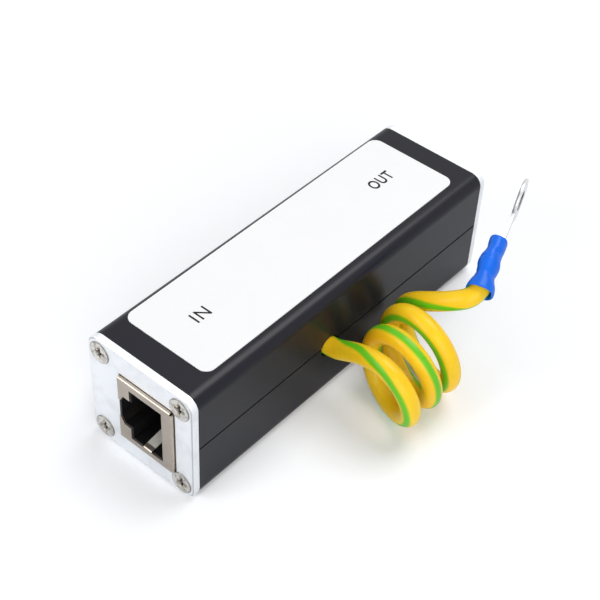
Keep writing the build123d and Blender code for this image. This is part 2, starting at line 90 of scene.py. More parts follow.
class Field:
    """A shader socket that takes part in arithmetic, each step of which adds a Math node."""

    def __init__(self, recipe: Recipe, socket: bpy.types.NodeSocket) -> None:
        """Hold the socket and the recipe whose tree it is in."""
        self.recipe = recipe
        self.socket = socket

    def _math(self, operation: str, *values: Any) -> Field:
        """Feed values to one Math node.

        Args:
            operation: The node's operation.
            values: Fields or numbers, in the order of the node's inputs.

        Returns:
            The node's result.
        """
        made = self.recipe.node("ShaderNodeMath", dict(enumerate(values)), operation=operation)
        return Field(self.recipe, made.outputs[0])

    def __add__(self, other: Any) -> Field:
        """Add a field or a number."""
        return self._math("ADD", self, other)

    __radd__ = __add__

    def __sub__(self, other: Any) -> Field:
        """Take a field or a number away."""
        return self._math("SUBTRACT", self, other)

    def __rsub__(self, other: Any) -> Field:
        """Take this field from a number."""
        return self._math("SUBTRACT", other, self)

    def __mul__(self, other: Any) -> Field:
        """Multiply by a field or a number."""
        return self._math("MULTIPLY", self, other)

    def fract(self) -> Field:
        """Keep the part after the decimal point."""
        return self._math("FRACT", self)

    def magnitude(self) -> Field:
        """Drop the sign."""
        return self._math("ABSOLUTE", self)

    def at_least(self, floor: Any) -> Field:
        """Raise what is below the floor, a field or a number, to it."""
        return self._math("MAXIMUM", self, floor)

    def at_most(self, ceiling: float) -> Field:
        """Lower what is above the ceiling to it."""
        return self._math("MINIMUM", self, ceiling)

    def hypotenuse(self, other: Field) -> Field:
        """Take the long side of the right triangle that has the two fields as its short ones."""
        return self._math("SQRT", self * self + other * other)

    def ease(self, low: float, high: float) -> Field:
        """Rise smoothly from 0 where the field is low to 1 where it is high.

        Args:
            low: Value that gives 0.
            high: Value that gives 1; it may be the smaller of the two.

        Returns:
            The eased field, kept between 0 and 1.
        """
        edges = {"Value": self, "From Min": low, "From Max": high}
        made = self.recipe.node("ShaderNodeMapRange", edges, interpolation_type="SMOOTHSTEP")
        return Field(self.recipe, made.outputs["Result"])


class Recipe:
    """The node tree of a material or the world, built a node at a time."""

    def __init__(self, name: str, owner: bpy.types.World | None = None) -> None:
        """Start an empty tree.

        Args:
            name: The name of a new material.
            owner: What has the tree in place of a new material.
        """
        self.owner = owner or bpy.data.materials.new(name)
        self.owner.use_nodes = True
        self.tree = self.owner.node_tree
        self.tree.nodes.clear()

    def node(self, kind: str, sockets: dict[Any, Any] | None = None, **settings: Any) -> bpy.types.Node:
        """Add a node.

        Args:
            kind: The node's type name.
            sockets: Values, fields or sockets by input name or place.
            settings: Its own settings, set before its sockets.

        Returns:
            The node.
        """
        made = self.tree.nodes.new(kind)
        for key, value in settings.items():
            setattr(made, key, value)
        for key, value in (sockets or {}).items():
            target = made.inputs[key]
            value = value.socket if isinstance(value, Field) else value
            if isinstance(value, bpy.types.NodeSocket):
                self.tree.links.new(value, target)
            else:
                target.default_value = (*value, 1.0) if target.type == "RGBA" else value
        return made

    def coordinates(self, kind: str = "Object") -> bpy.types.NodeSocket:
        """Give the piece's own coordinates of that kind."""
        return self.node("ShaderNodeTexCoord").outputs[kind]

    def position(self) -> tuple[Field, Field, Field]:
        """Give the place on the piece as three fields, in metres."""
        parts = self.node("ShaderNodeSeparateXYZ", {"Vector": self.coordinates()})
        return tuple(Field(self, parts.outputs[axis]) for axis in "XYZ")

    def mark(self, name: str) -> Field:
        """Give the piece's own attribute of that name."""
        made = self.node("ShaderNodeAttribute", attribute_name=name, attribute_type="GEOMETRY")
        return Field(self, made.outputs["Fac"])

    def noise(self, scales: float | Point, detail: float = 3.0, offset: Point = (0.0, 0.0, 0.0)) -> Field:
        """Make noise that may be drawn out along an axis.

        Args:
            scales: Cells per metre, one number or those along X, Y and Z.
            detail: Number of finer layers.
            offset: Shift of the pattern, in cells.

        Returns:
            The noise, about 0.5 on average.
        """
        cells = scales if isinstance(scales, tuple) else (scales,) * 3
        shift = {"Vector": self.coordinates(), "Scale": cells, "Location": offset}
        place = self.node("ShaderNodeMapping", shift)
        layers = {"Vector": place.outputs[0], "Scale": 1.0, "Detail": detail, "Roughness": 0.55}
        made = self.node("ShaderNodeTexNoise", layers)
        return Field(self, made.outputs["Fac"])

    def blend(self, mask: Field, low: Any, high: Any) -> bpy.types.NodeSocket:
        """Mix two colours.

        Args:
            mask: 0 for the first colour, 1 for the second.
            low: First colour, or a socket with one.
            high: Second colour, or a socket with one.

        Returns:
            The mixed colour's socket.
        """
        colours = {0: mask, 6: low, 7: high}
        return self.node("ShaderNodeMix", colours, data_type="RGBA", clamp_factor=True).outputs[2]

    def bump(self, height: Field, distance: float, strength: float = 1.0) -> bpy.types.NodeSocket:
        """Turn a height field into a normal.

        Args:
            height: Height from 0 to 1.
            distance: Metres that a height of 1 stands up.
            strength: Share of the effect.

        Returns:
            The normal's socket.
        """
        made = self.node("ShaderNodeBump", {"Height": height, "Distance": distance, "Strength": strength})
        return made.outputs["Normal"]

    def finish(self, **sockets: Any) -> bpy.types.Material:
        """Close the tree with a Principled shader.

        Args:
            sockets: Its inputs, with underscores for spaces.

        Returns:
            The material.
        """
        named = {key.replace("_", " "): value for key, value in sockets.items()}
        shader = self.node("ShaderNodeBsdfPrincipled", named)
        self.node("ShaderNodeOutputMaterial", {"Surface": shader.outputs[0]})
        return self.owner


# ---- finishes


@dataclass(frozen=True)
class Coating:
    """A hard finish: a colour with a grain in its height, gloss and tone.

    The grain is noise with grain cells per metre along each axis. Height is the grain times
    depth, gloss varies by gloss_spread either side of roughness, and tone by tone_spread. A
    level groove at groove_z, if there is one, is painted black as shade, and duller by
    groove_gloss. The painted shade fades in between the two distances of groove_edge.
    """

    name: str
    colour: Colour
    roughness: float
    metallic: float = 0.0
    specular: float = 0.5
    grain: float | Point = 1500.0
    depth: float = 4e-6
    gloss_spread: float = 0.06
    tone_spread: float = 0.06
    blotch: float = 120.0
    coat: float = 0.0
    coat_roughness: float = 0.1
    groove_z: float | None = None
    groove_edge: Pair = (0.00023, 0.00017)
    groove_gloss: float = 0.6

    def material(self) -> bpy.types.Material:
        """Make the material.

        Returns:
            The material, on Object coordinates.
        """
        recipe = Recipe(self.name)
        grain = recipe.noise(self.grain)
        blotch = recipe.noise(self.blotch, detail=2.0, offset=(3.1, 7.7, 1.3))
        gloss = self.roughness + (grain - 0.5) * self.gloss_spread + (blotch - 0.5) * self.gloss_spread
        dark, light = toned(self.colour, 1.0 - self.tone_spread), toned(self.colour, 1.0 + self.tone_spread)
        tone = recipe.blend(((grain + blotch) * 0.5).ease(0.3, 0.7), dark, light)
        if self.groove_z is not None:
            # painted shade: the level groove is painted black, as the deep seam lies in shade
            groove = (recipe.position()[2] - self.groove_z).magnitude().ease(*self.groove_edge)
            tone = recipe.blend(groove, tone, (0.0, 0.0, 0.0))
            gloss = gloss + groove * self.groove_gloss
        return recipe.finish(
            Base_Color=tone,
            Roughness=gloss,
            Metallic=self.metallic,
            Specular_IOR_Level=self.specular,
            Coat_Weight=self.coat,
            Coat_Roughness=self.coat_roughness,
            Normal=recipe.bump(grain, self.depth),
        )


@dataclass(frozen=True)
class StripedInsulation:
    """Yellow vinyl insulation with two green stripes, which follow the piece's own UV map.

    The map's U runs once round the lead, with a stripe's middle at U = 0 and at U = 0.5. A
    stripe is green up to stripe_share of a turn from its middle, edge is how softly it ends, and
    wander how far it strays.
    """

    name: str = "striped_insulation"
    ground: Colour = (1.0, 0.65, 0.016)
    shade: Colour = (1.0, 0.50, 0.008)
    stripe: Colour = (0.14, 0.56, 0.014)
    stripe_share: float = 0.058
    edge: float = 0.03
    wander: float = 0.012
    mottle: float = 0.35
    roughness: float = 0.3
    gloss_spread: float = 0.12
    specular: float = 0.28

    def material(self) -> bpy.types.Material:
        """Make the material.

        Returns:
            The material, on the UV map and Object coordinates.
        """
        recipe = Recipe(self.name)
        parts = recipe.node("ShaderNodeSeparateXYZ", {"Vector": recipe.coordinates("UV")})
        around = Field(recipe, parts.outputs["X"])
        wander = (recipe.noise(300.0, detail=1.0) - 0.5) * self.wander
        # distance from the nearest stripe's middle, in turns
        away = ((around * 2.0 + 0.5 + wander).fract() - 0.5).magnitude() * 0.5
        green = away.ease(self.stripe_share + self.edge, self.stripe_share - self.edge)
        blotch = recipe.noise(260.0, detail=2.0)
        grain = recipe.noise(2600.0)
        vinyl = recipe.blend(blotch.ease(0.35, 0.75) * self.mottle, self.ground, self.shade)
        return recipe.finish(
            Base_Color=recipe.blend(green, vinyl, self.stripe),
            Roughness=self.roughness + (blotch - 0.5) * self.gloss_spread,
            Specular_IOR_Level=self.specular,
            Normal=recipe.bump(grain, 6e-6, 0.6),
        )


@dataclass(frozen=True)
class PlateFinish:
    """Blasted aluminium with a fine line of painted shade just inside the broken front edge.

    The line follows the distance past a rounded square's outline, in metres: it comes in over
    line_inner and goes out over line_outer, and shows only past the distances of front.
    """

    name: str = "blasted_aluminium"
    colour: Colour = srgb(243, 246, 250)
    # colour of the painted shade line
    edge: Colour = srgb(120, 122, 124)
    half: float = 0.0125
    middle_z: float = 0.0125
    corner: float = 0.0024
    line_inner: Pair = (-0.00036, -0.0002)
    line_outer: Pair = (-2e-5, -0.00014)
    line_share: float = 0.6
    front: Pair = (0.0412, 0.04138)
    roughness: float = 0.42
    gloss_spread: float = 0.16
    metallic: float = 0.55

    def material(self) -> bpy.types.Material:
        """Make the material.

        Returns:
            The material, on Object coordinates.
        """
        recipe = Recipe(self.name)
        x, y, z = recipe.position()
        over_x = x.magnitude() - (self.half - self.corner)
        over_z = (z - self.middle_z).magnitude() - (self.half - self.corner)
        # distance past the rounded square's outline, negative inside it
        past = over_x.at_least(0.0).hypotenuse(over_z.at_least(0.0)) + over_x.at_least(over_z).at_most(0.0)
        past = past - self.corner
        # painted shade: a thin grey line just inside the plate's outline, where the broken edge looks dark
        line = past.ease(*self.line_inner) * past.ease(*self.line_outer)
        line = line * y.magnitude().ease(*self.front)
        cloud = recipe.noise(260.0, detail=4.0, offset=(1.7, 0.2, 5.1))
        grain = recipe.noise(5200.0)
        face = recipe.blend(cloud.ease(0.42, 0.7), self.colour, toned(self.colour, 0.9))
        return recipe.finish(
            Base_Color=recipe.blend(line * self.line_share, face, self.edge),
            Roughness=self.roughness + (cloud - 0.5) * self.gloss_spread,
            Metallic=self.metallic,
            Normal=recipe.bump(grain, 5e-6, 0.7),
        )


@dataclass(frozen=True)
class ScrewFinish:
    """Nickel-plated screw heads, with painted shade in their recess, a painted shadow round their seat and
    random soil.

    The radii of the painted shadow round the seat are metres from the nearest screw's middle,
    found by folding the plate's four corners onto one, and turnings are marks per metre of
    radius. The painted shade in the recess comes in between its two distances from the row's
    middle.
    """

    name: str = "screw_nickel"
    colour: Colour = srgb(228, 224, 217)
    # dark colour of the painted shade, the painted shadow and the random soil
    dark: Colour = srgb(58, 53, 48)
    spacing: float = 0.0096
    middle_z: float = 0.0125
    turnings: float = 9000.0
    recess: Pair = (0.0416, 0.0411)
    seat_shadow: Pair = (0.0021, 0.00224)
    roughness: float = 0.26

    def material(self) -> bpy.types.Material:
        """Make the material.

        Returns:
            The material, on Object coordinates.
        """
        recipe = Recipe(self.name)
        x, y, z = recipe.position()
        across = x.magnitude() - self.spacing
        up = (z - self.middle_z).magnitude() - self.spacing
        radius = across.hypotenuse(up)
        # turning marks run round the head
        marks = (radius * self.turnings + recipe.noise(700.0) * 0.8).fract().ease(0.1, 0.9)
        # painted shade deep in the recess, and a painted shadow ring round the head's seat
        depth = y.magnitude().ease(*self.recess)
        seat_shadow = radius.ease(*self.seat_shadow)
        soil = recipe.noise(1100.0, detail=2.0).ease(0.42, 0.7) * 0.5
        # the darkest of the painted shade, the painted shadow and the random soil patches
        soil_and_shade = (depth * 0.9).at_least(seat_shadow * 0.75).at_least(soil)
        return recipe.finish(
            Base_Color=recipe.blend(soil_and_shade, self.colour, self.dark),
            Roughness=self.roughness + depth * 0.3 + marks * 0.06,
            Metallic=1.0,
            Normal=recipe.bump(marks, 3e-6, 0.5),
        )


@dataclass(frozen=True)
class ShieldNickel:
    """Nickel on the folded shield, with painted light on the fingers inside its window: paler there and less
    of a mirror.

    The window's inside begins between the two distances from the row's middle, in metres.
    """

    name: str = "nickel_plating"
    colour: Colour = srgb(190, 179, 167)
    # paler colour: painted light on the fingers inside the window
    painted_light_inside: Colour = srgb(240, 236, 226)
    inside: Pair = (0.0413, 0.041)
    roughness: float = 0.28
    gloss_spread: float = 0.1

    def material(self) -> bpy.types.Material:
        """Make the material.

        Returns:
            The material, on Object coordinates.
        """
        recipe = Recipe(self.name)
        _, y, _ = recipe.position()
        # painted light: the fingers inside the window are painted paler
        deep = y.magnitude().ease(*self.inside)
        grain = recipe.noise((5200.0, 700.0, 2600.0))
        blotch = recipe.noise(160.0, detail=2.0)
        face = recipe.blend(blotch.ease(0.4, 0.7), self.colour, toned(self.colour, 0.9))
        return recipe.finish(
            Base_Color=recipe.blend(deep, face, self.painted_light_inside),
            Roughness=self.roughness + (blotch - 0.5) * self.gloss_spread + deep * 0.12,
            Metallic=1.0 - deep * 0.6,
            Normal=recipe.bump(grain, 1.5e-6),
        )


@dataclass(frozen=True)
class StampedTin:
    """Tinned copper, with painted shade where the piece's own mark "edge" says: on the ring's thin sides and
    the hole's wall.
    """

    name: str = "stamped_tin"
    colour: Colour = srgb(232, 232, 231)
    # dark colour of the painted shade on the edges
    dark: Colour = srgb(52, 52, 54)
    roughness: float = 0.28
    gloss_spread: float = 0.15
    metallic: float = 0.9

    def material(self) -> bpy.types.Material:
        """Make the material.

        Returns:
            The material, on Object coordinates and the mark.
        """
        recipe = Recipe(self.name)
        ripple = recipe.noise(420.0, detail=3.0)
        grain = recipe.noise(2600.0)
        # painted shade on the ring's thin sides and the hole's wall, from the piece's mark
        edge_shade = recipe.mark("edge") * (ripple.ease(0.3, 0.6) * 0.35 + 0.65)
        return recipe.finish(
            Base_Color=recipe.blend(edge_shade, self.colour, self.dark),
            Roughness=self.roughness + (ripple - 0.5) * self.gloss_spread,
            Metallic=self.metallic,
            Normal=recipe.bump(grain * 0.5 + ripple * 0.5, 5e-6, 0.6),
        )


class Finish(Enum):
    """The finishes of the pieces, each with one material."""

    # the seam's groove between the two halves gets painted shade
    ANODISED = Coating(
        "black_anodising", srgb(24, 24, 33), 0.3,
        specular=0.22, grain=(5200.0, 260.0, 5200.0), depth=2.5e-6, groove_z=0.01275,
    )
    STAMPED_TIN = StampedTin()
    PLATE = PlateFinish()
    SCREW = ScrewFinish()
    NICKEL = ShieldNickel()
    FILM = Coating("white_film", srgb(249, 249, 250), 0.42, grain=1600.0, depth=2e-6, tone_spread=0.01)
    LAMINATE = Coating("green_laminate", srgb(18, 92, 46), 0.35, grain=1400.0, coat=0.3)
    MOULDING = Coating("black_moulding", srgb(16, 16, 17), 0.44, specular=0.3, grain=3800.0, depth=6e-6)
    GOLD = Coating("gold_plating", srgb(236, 196, 112), 0.22, metallic=1.0, grain=3000.0)
    CERAMIC = Coating("glazed_ceramic", srgb(232, 226, 212), 0.25, grain=1800.0, coat=0.2)
    TIN = Coating("tin_plating", srgb(196, 196, 194), 0.3, metallic=1.0, grain=2600.0, depth=5e-6)
    NYLON = Coating("natural_nylon", srgb(226, 224, 214), 0.4)
    INK = Coating("black_ink", srgb(18, 18, 20), 0.4, specular=0.2, grain=2600.0, depth=1e-6)
    SLEEVE = Coating(
        "blue_vinyl", srgb(12, 107, 231), 0.36,
        specular=0.3, depth=8e-6, tone_spread=0.05, blotch=420.0,
    )
    INSULATION = StripedInsulation()

    @cache
    def material(self) -> bpy.types.Material:
        """Make the finish's one material."""
        return self.value.material()

    def dress(self, piece: bpy.types.Object) -> None:
        """Put the finish on a whole piece.

        Args:
            piece: The piece.
        """
        materials = piece.data.materials
        if materials:
            for place in range(len(materials)):
                materials[place] = self.material()
        else:
            materials.append(self.material())


Looks = tuple[tuple[Finish, tuple[str, ...]], ...]


@dataclass
class NodeGroup:
    """A sub-assembly whose nodes keep their shape: each finish, and the nodes that have it."""

    looks: Looks = ()

    def build(self) -> None:
        """Dress the nodes."""
        for finish, names in self.looks:
            for name in names:
                finish.dress(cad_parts[name])
                LOG.info("%s dressed", name)


# ---- mesh helpers


def put(name: str, data: bpy.types.ID) -> bpy.types.Object:
    """Put a new object with that data into the scene.

    Args:
        name: The object's name.
        data: Its mesh, lamp or camera.

    Returns:
        The object.
    """
    made = bpy.data.objects.new(name, data)
    bpy.context.scene.collection.objects.link(made)
    return made


def curve_mesh(curve: bpy.types.Curve) -> bpy.types.Mesh:
    """Turn a curve or a text into a mesh, and clear it away.

    Args:
        curve: The curve or text.

    Returns:
        The mesh.
    """
    carrier = bpy.data.objects.new(curve.name, curve)
    mesh = bpy.data.meshes.new_from_object(carrier)
    bpy.data.objects.remove(carrier)
    bpy.data.curves.remove(curve)
    return mesh


def circle(count: int) -> np.ndarray:
    """Give that many even angles round a circle, in radians from 0."""
    return np.linspace(0.0, 2.0 * np.pi, count, endpoint=False)


def wrapped(angle: np.ndarray) -> np.ndarray:
    """Bring angles between minus pi and pi."""
    return (angle + np.pi) % (2.0 * np.pi) - np.pi


def put_mesh(
    name: str,
    points: np.ndarray,
    faces: Sequence[Sequence[int]],
    uv: np.ndarray | None = None,
    marks: dict[str, np.ndarray] | None = None,
    smooth: Any = True,
) -> bpy.types.Object:
    """Put arrays of points and faces into a new piece at the origin.

    Args:
        name: The piece's name.
        points: Corner places, one row each.
        faces: Corner numbers, one row a face.
        uv: U and V for each corner of each face, in the faces' order.
        marks: Values for each point, by the mark's name.
        smooth: Whether the faces shade smoothly, for all or one by one.

    Returns:
        The piece.
    """
    mesh = bpy.data.meshes.new(name)
    mesh.from_pydata(points.tolist(), [], faces)
    if uv is not None:
        layer = mesh.uv_layers.new(name="UVMap")
        layer.data.foreach_set("uv", uv.reshape(-1).astype(np.float32))
    for mark, values in (marks or {}).items():
        layer = mesh.attributes.new(mark, "FLOAT", "POINT")
        layer.data.foreach_set("value", values.astype(np.float32))
    mesh.polygons.foreach_set("use_smooth", np.broadcast_to(smooth, len(mesh.polygons)).copy())
    mesh.update()
    return put(name, mesh)


def grid_faces(rows: int, columns: int, wrap_rows: bool, wrap_columns: bool) -> np.ndarray:
    """Number the four corners of each cell of a grid of points.

    Corner (r, c) is point r * columns + c, and a wrapped side goes back to its first line.

    Args:
        rows: Lines of points.
        columns: Points in a line.
        wrap_rows: Whether the last line joins the first.
        wrap_columns: Whether each line closes on itself.

    Returns:
        One row of four corner numbers for each cell.
    """
    row = np.arange(rows if wrap_rows else rows - 1)[:, None]
    column = np.arange(columns if wrap_columns else columns - 1)[None, :]
    below, beside = (row + 1) % rows, (column + 1) % columns
    here, there = row * columns, below * columns
    corners = np.stack([here + column, here + beside, there + beside, there + column], axis=-1)
    return corners.reshape(-1, 4)


def smooth_profile(stations: Stations, at: np.ndarray, spread: float) -> np.ndarray:
    """Draw a smooth line near a few stations.

    The straight runs between the stations are averaged over a window of the given width.

    Args:
        stations: Place and value pairs, in order of place.
        at: Places where the line is wanted.
        spread: Width of the window.

    Returns:
        The value at each place.
    """
    places, values = np.array(stations).T
    window = np.linspace(-0.5, 0.5, 21) * spread
    weight = np.cos(np.pi * window / spread) ** 2
    sampled = np.interp(at[:, None] + window[None, :], places, values)
    return sampled @ (weight / weight.sum())


# ---- the earth lead


@dataclass
class EarthLead:
    """The striped earth lead: out of the case, round a standing coil and up to its terminal.

    Lengths are millimetres. T turns along the coil the angle is 2 pi T + phase, and x is
    centre + centre_drift T + (radius + radius_growth T) sin(angle), with z likewise by cos. Y
    follows advance, as a polynomial of T, and leans with x and z. A stripe angle is (distance
    along the lead, degrees round it).
    """

    diameter: float = 3.8
    sides: int = 40
    divisions: int = 10
    stripe_window: float = 3.5
    cap_u: float = 0.25
    start: tuple[Point, ...] = (
        (11.1, -5.5, 12.2), (13.6, -5.5, 12.2), (15.92, -5.41, 13.2), (18.69, -5.47, 14.72),
    )
    finish_run: tuple[Point, ...] = (
        (15.76, 12.29, 10.81), (17.0, 11.73, 13.88), (19.28, 11.05, 16.39), (22.0, 10.59, 18.51),
        (24.83, 10.56, 20.34), (27.58, 11.14, 21.98), (30.18, 12.39, 23.48), (30.35, 15.33, 24.82),
        (30.2, 15.8, 25.0),
    )
    coil_points: int = 34
    points_per_turn: int = 12
    centre: Pair = (24.763, 9.152)
    centre_drift: Pair = (-0.23, 0.508)
    radius: Pair = (7.154, 7.498)
    radius_growth: Pair = (0.474, 0.53)
    phase: float = -0.392
    advance: tuple[float, float, float] = (-5.798, 6.779, -0.373)
    lean: Pair = (-0.249, -0.109)
    exit_point: Point = (12.5, -5.5, 12.2)
    stripe_angles: Stations = (
        (0, 24), (3, 46), (4.5, 66), (6, 86), (10, 104), (14, 142), (19, 172),
        (25, 168), (40, 125), (55, 88), (60, 106), (66, 107), (72, 98), (80, 112),
        (104, 170), (113, 187), (122, 182), (130, 168), (145, 140), (158, 138),
        (162, 158), (166, 184), (169, 206), (171, 234), (172.5, 258), (174, 292),
        (178, 330),
    )

    def coil(self) -> np.ndarray:
        """Give the coil's control points.

        Returns:
            The points, in millimetres, one row each.
        """
        turn = np.arange(self.coil_points) / self.points_per_turn
        angle = 2.0 * np.pi * turn + self.phase
        reach_x = (self.radius[0] + self.radius_growth[0] * turn) * np.sin(angle)
        reach_z = (self.radius[1] + self.radius_growth[1] * turn) * np.cos(angle)
        x = self.centre[0] + self.centre_drift[0] * turn + reach_x
        z = self.centre[1] + self.centre_drift[1] * turn + reach_z
        y = self.advance[0] + self.advance[1] * turn + self.advance[2] * turn * turn
        y += self.lean[0] * (x - self.centre[0]) + self.lean[1] * (z - self.centre[1])
        return np.stack([x, y, z], axis=1)

    def line(self) -> np.ndarray:
        """Lay the route's smooth line.

        Returns:
            Points along the line, in metres.
        """
        route = [*self.start, *self.coil(), *self.finish_run]
        curve = bpy.data.curves.new("lead_route", "CURVE")
        curve.dimensions = "3D"
        spline = curve.splines.new("NURBS")
        spline.points.add(len(route) - 1)
        for point, place in zip(spline.points, route):
            point.co = (*(value * MM for value in place), 1.0)
        spline.order_u = 3
        spline.use_endpoint_u = True
        spline.resolution_u = self.divisions
        mesh = curve_mesh(curve)
        points = np.empty(len(mesh.vertices) * 3)
        mesh.vertices.foreach_get("co", points)
        bpy.data.meshes.remove(mesh)
        points = points.reshape(-1, 3)
        apart = np.linalg.norm(np.diff(points, axis=0), axis=1) > 1e-7
        return points[np.r_[True, apart]]

    def tube(self, line: np.ndarray) -> bpy.types.Object:
        """Carry a circle along the line.

        At each point the circle stands square to the line, with its first axis the part of +Y
        that is square to the line and its second axis their cross product. The stripe's angle
        from the first axis follows stripe_angles, and U is the angle from the stripe in turns.

        Args:
            line: Points along the line, in metres.

        Returns:
            The lead.
        """
        ahead = np.gradient(line, axis=0)
        ahead /= np.linalg.norm(ahead, axis=1, keepdims=True)
        first = np.array([0.0, 1.0, 0.0]) - ahead * ahead[:, 1:2]
        first /= np.linalg.norm(first, axis=1, keepdims=True)
        second = np.cross(ahead, first)
        angle = circle(self.sides)
        spoke = np.cos(angle)[None, :, None] * first[:, None] + np.sin(angle)[None, :, None] * second[:, None]
        rings = line[:, None] + spoke * (self.diameter / 2 * MM)
        points = np.vstack([rings.reshape(-1, 3), line[:1], line[-1:]])
        sides = grid_faces(len(line), self.sides, False, True)
        along = np.r_[0.0, np.cumsum(np.linalg.norm(np.diff(line, axis=0), axis=1))]
        stripe = smooth_profile(self.stripe_angles, along / MM, self.stripe_window) / 360.0
        rows = sides // self.sides
        columns = np.arange(len(sides))[:, None] % self.sides + [0, 1, 1, 0]
        side_uv = np.stack([columns / self.sides - stripe[rows], along[rows]], axis=-1)
        brim, last = np.arange(self.sides), (len(line) - 1) * self.sides
        beside, hub = (brim + 1) % self.sides, np.full(self.sides, len(points) - 2)
        caps = np.r_[np.c_[beside, brim, hub], np.c_[last + brim, last + beside, hub + 1]]
        faces = sides.tolist() + caps.tolist()
        uv = np.vstack([side_uv.reshape(-1, 2), np.tile([self.cap_u, 0.0], (caps.size, 1))])
        return put_mesh("earth_lead", points, faces, uv=uv, smooth=np.arange(len(faces)) < len(sides))

    def build(self, on_it: Sequence[bpy.types.Object]) -> None:
        """Args:
            on_it: The pieces at its far end; not used.
        """
        line = self.line()
        lead = self.tube(line)
        Finish.INSULATION.dress(lead)
        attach(lead, BODY)
        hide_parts("ground_lead_exit", "ground_lead_coil", "ground_lead_end")
        tuple(value * MM for value in self.exit_point)


# ---- the ring terminal


@dataclass
class Terminal:
    """The terminal at the lead's end: a soft blue sleeve crimped over a tinned ring's barrel.

    Lengths are millimetres. The sleeve's stations are (distance from the mouth, value): half
    its width across the ring's face, half its width along the face, and how far its middle has
    been pushed across. A crimp dent is (distance, angle round the sleeve in degrees, depth,
    half length, half width in radians). The ring's middle is its distance from the mouth, and
    the four edge shades are how dark the upper and lower edge of the hole and of the outline
    are painted: painted shade on the ring's thin sides and on the hole's wall. A station of
    the lower edges' painted shade is (degrees from the neck, share).
    """

    mouth: Point = (30.78, 13.9, 24.24)
    along: Point = (-0.269, 0.891, 0.365)
    face: Point = (0.947, 0.313, -0.067)
    length: float = 11.2
    wall: float = 0.5
    round_end: float = 0.5
    across: Stations = (
        (0.0, 2.68), (0.8, 2.62), (1.6, 2.42), (2.6, 1.98), (3.5, 1.76), (4.4, 1.97), (5.4, 2.14), (6.2, 2.1),
        (7.1, 1.88), (8.2, 1.66), (9.0, 1.63), (10.0, 1.72), (11.2, 1.74),
    )
    beside: Stations = (
        (0.0, 2.85), (1.2, 2.7), (2.4, 2.5), (3.6, 2.42), (5.0, 2.5), (6.4, 2.6), (7.6, 2.55), (9.0, 2.4),
        (11.2, 2.25),
    )
    sway: Stations = (
        (0.0, -0.1), (1.5, -0.08), (3.5, -0.22), (5.4, -0.35), (7.0, -0.5), (8.2, -0.32), (9.0, -0.22),
        (10.4, -0.34), (11.2, -0.36),
    )
    dents: tuple[tuple[float, float, float, float, float], ...] = (
        (6.5, -126.0, 0.24, 0.2, 0.5), (4.9, -168.0, 0.16, 0.5, 0.4), (3.3, -70.0, 0.16, 0.6, 0.5),
        (7.9, -60.0, 0.18, 0.5, 0.5),
    )
    sides: int = 80
    ring_middle: float = 20.4
    ring_radius: float = 4.25
    hole_radius: float = 1.85
    tongue_offset: float = 0.27
    tongue_metal: float = 0.6
    neck_half: float = 1.45
    neck_start: float = 10.2
    barrel_start: float = 4.6
    barrel_sides: int = 40
    barrel_gap: float = 0.12
    lip: float = 0.16
    edge_round: float = 0.13
    # how dark the painted shade makes each edge of the section
    edge_shades: tuple[float, float, float, float] = (0.9, 0.1, 0.8, 0.9)
    lower_edge_shade: Stations = ((14.0, 0.0), (32.0, 1.0), (100.0, 1.0), (135.0, 0.1))

    def frame_axes(self) -> np.ndarray:
        """Give the sleeve's axes in the row's frame.

        Returns:
            As rows, the axes across the face, along the face, and along the sleeve.
        """
        along = np.array(self.along) / np.linalg.norm(self.along)
        face = np.array(self.face) - along * np.dot(self.face, along)
        face /= np.linalg.norm(face)
        return np.stack([face, np.cross(along, face), along])

    def placed(self, *local: np.ndarray) -> np.ndarray:
        """Take points from the terminal's three axes, in millimetres, to the row's frame, in metres."""
        points = np.stack(np.broadcast_arrays(*local), axis=-1).reshape(-1, 3)
        return (points @ self.frame_axes() + np.array(self.mouth)) * MM

    def oval(self, distance: np.ndarray) -> tuple[np.ndarray, np.ndarray, np.ndarray]:
        """Give the sleeve's skin.

        Args:
            distance: Distances from the mouth.

        Returns:
            Half its width across and along the face, and how far its middle is pushed across.
        """
        return (
            smooth_profile(self.across, distance, 1.0),
            smooth_profile(self.beside, distance, 1.2),
            smooth_profile(self.sway, distance, 1.2),
        )

    def section(self) -> tuple[np.ndarray, np.ndarray, np.ndarray, np.ndarray]:
        """Draw the sleeve's wall as a closed loop.

        The loop runs out along the skin, turns in over the far end, comes back inside and turns
        out over the lip of the mouth. Inset is the depth below the skin.

        Returns:
            Distance from the mouth, inset, how much of a dent shows there, and how much the
            oval is squared to let the flat neck through, the last two from 0 to 1.
        """
        turn = np.linspace(0.0, np.pi / 2, 9)[1:]
        lip = np.linspace(0.0, np.pi, 9)[1:-1]
        skin = np.linspace(0.12, self.length - self.round_end, 90)
        far = self.length - self.round_end * (1.0 - np.sin(turn))
        far_inset = self.round_end * (1.0 - np.cos(turn))
        inside = np.linspace(self.length - 0.25, self.lip, 30)
        distance = np.r_[skin, far, inside, self.lip - 0.2 * np.sin(lip)]
        wall = np.full(len(inside), self.wall + 0.04)
        inset = np.r_[np.zeros(len(skin)), far_inset, wall, self.wall / 2 * (1.0 + np.cos(lip))]
        shown = np.r_[np.ones(len(skin)), 1.0 - np.sin(turn), np.zeros(len(inside) + len(lip))]
        squared = np.r_[np.zeros(len(skin)), np.sin(turn), np.ones(len(inside)), (1.0 + np.cos(lip)) / 2]
        return distance, inset, shown, squared

    def sleeve(self) -> bpy.types.Object:
        """Carry the wall's loop round a pushed oval, pressed in at the crimp dents.

        Returns:
            The sleeve.
        """
        distance, inset, shown, squared = self.section()
        half_across, half_beside, pushed = self.oval(distance)
        angle = circle(self.sides)
        press = np.zeros((len(distance), self.sides))
        for place, degrees, depth, reach, spread in self.dents:
            away = wrapped(angle - math.radians(degrees))
